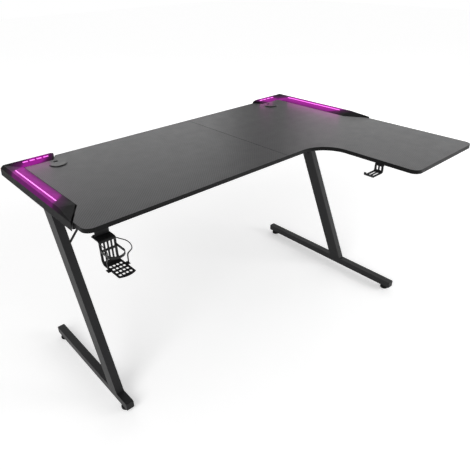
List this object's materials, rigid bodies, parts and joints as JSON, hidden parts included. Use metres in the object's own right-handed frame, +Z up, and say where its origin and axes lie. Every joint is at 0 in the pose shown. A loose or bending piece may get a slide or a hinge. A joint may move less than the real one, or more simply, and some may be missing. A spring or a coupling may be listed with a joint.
{
  "type": "corner desk",
  "caption": "L-shaped corner desk on slanted steel legs, with lit housings in its back corners, cable grommets, a cup holder and a headphone hook.",
  "frame": {"origin": "on the floor, under the middle of the overall outline", "axes": "+X along the long wing towards the return wing's end, +Y to the back edge, +Z up"},
  "size_m": [1.52, 1.09, 0.764],
  "materials": {
    "carbon_laminate": "matte laminate with a fine carbon-fibre weave on a chipboard core",
    "edge_band": "satin black",
    "beech": "plain beech",
    "black_steel": "fine-textured black powder coat",
    "black_sheet": "satin black powder coat",
    "black_fasteners": "black zinc",
    "housing_plastic": "fine-grained black",
    "light_lens": "milky diffuser, lit magenta",
    "led_strip": "white flexible circuit",
    "controller_plastic": "matte black",
    "inlet_plastic": "glossy black",
    "grommet_plastic": "satin black",
    "cap_plastic": "satin black",
    "brass": "turned brass",
    "zinc": "zinc plate",
    "pad_rubber": "matte black"
  },
  "bodies": {
    "desk": {"left_desktop_panel": "carbon_laminate", "right_desktop_panel": "carbon_laminate", "left_edge_band": "edge_band", "right_edge_band": "edge_band", "panel_dowels": "beech", "joiner_plates": "black_steel", "joiner_screws": "black_fasteners", "left_corner_housing": "housing_plastic", "right_corner_housing": "housing_plastic", "housing_screws": "black_fasteners", "left_side_light_lens": "light_lens", "left_back_light_lens": "light_lens", "right_side_light_lens": "light_lens", "right_back_light_lens": "light_lens", "left_side_led_strip": "led_strip", "left_back_led_strip": "led_strip", "right_side_led_strip": "led_strip", "right_back_led_strip": "led_strip", "led_controller_case": "controller_plastic", "led_controller_lid": "controller_plastic", "power_inlet": "inlet_plastic", "controller_screws": "black_fasteners", "left_grommet_ring": "grommet_plastic", "right_grommet_ring": "grommet_plastic", "left_foot_rail": "black_steel", "left_leg_post": "black_steel", "left_top_rail": "black_steel", "right_foot_rail": "black_steel", "right_leg_post": "black_steel", "right_top_rail": "black_steel", "front_crossbeam": "black_steel", "rear_crossbeam": "black_steel", "beam_end_plates": "black_steel", "beam_bolts": "black_fasteners", "left_brace_rod": "black_steel", "right_brace_rod": "black_steel", "brace_bolts": "black_fasteners", "foot_end_caps": "cap_plastic", "top_rail_end_caps": "cap_plastic", "desktop_bolts": "black_fasteners", "desktop_inserts": "brass", "levelling_nuts": "zinc", "cup_holder_bracket": "black_sheet", "cup_holder_basket": "black_sheet", "cup_holder_ring": "black_sheet", "cup_holder_screws": "black_fasteners", "headphone_hook": "black_sheet", "headphone_hook_screws": "black_fasteners"},
    "left_front_foot": {"left_front_pad": "pad_rubber", "left_front_stud": "zinc"},
    "left_rear_foot": {"left_rear_pad": "pad_rubber", "left_rear_stud": "zinc"},
    "right_front_foot": {"right_front_pad": "pad_rubber", "right_front_stud": "zinc"},
    "right_rear_foot": {"right_rear_pad": "pad_rubber", "right_rear_stud": "zinc"},
    "left_cap": {"left_grommet_cap": "grommet_plastic"},
    "right_cap": {"right_grommet_cap": "grommet_plastic"}
  },
  "joints": [
    {"name": "left_front_foot_screw", "type": "slide", "parent": "desk", "child": "left_front_foot", "axis": [0, 0, -1], "range_m": [0, 0.012]},
    {"name": "left_rear_foot_screw", "type": "slide", "parent": "desk", "child": "left_rear_foot", "axis": [0, 0, -1], "range_m": [0, 0.012]},
    {"name": "right_front_foot_screw", "type": "slide", "parent": "desk", "child": "right_front_foot", "axis": [0, 0, -1], "range_m": [0, 0.012]},
    {"name": "right_rear_foot_screw", "type": "slide", "parent": "desk", "child": "right_rear_foot", "axis": [0, 0, -1], "range_m": [0, 0.012]},
    {"name": "left_cap_turn", "type": "hinge", "parent": "desk", "child": "left_cap", "pos_m": [-0.58, 0.437, 0.75], "axis": [0, 0, 1], "continuous": true},
    {"name": "right_cap_turn", "type": "hinge", "parent": "desk", "child": "right_cap", "pos_m": [0.58, 0.437, 0.75], "axis": [0, 0, 1], "continuous": true}
  ]
}
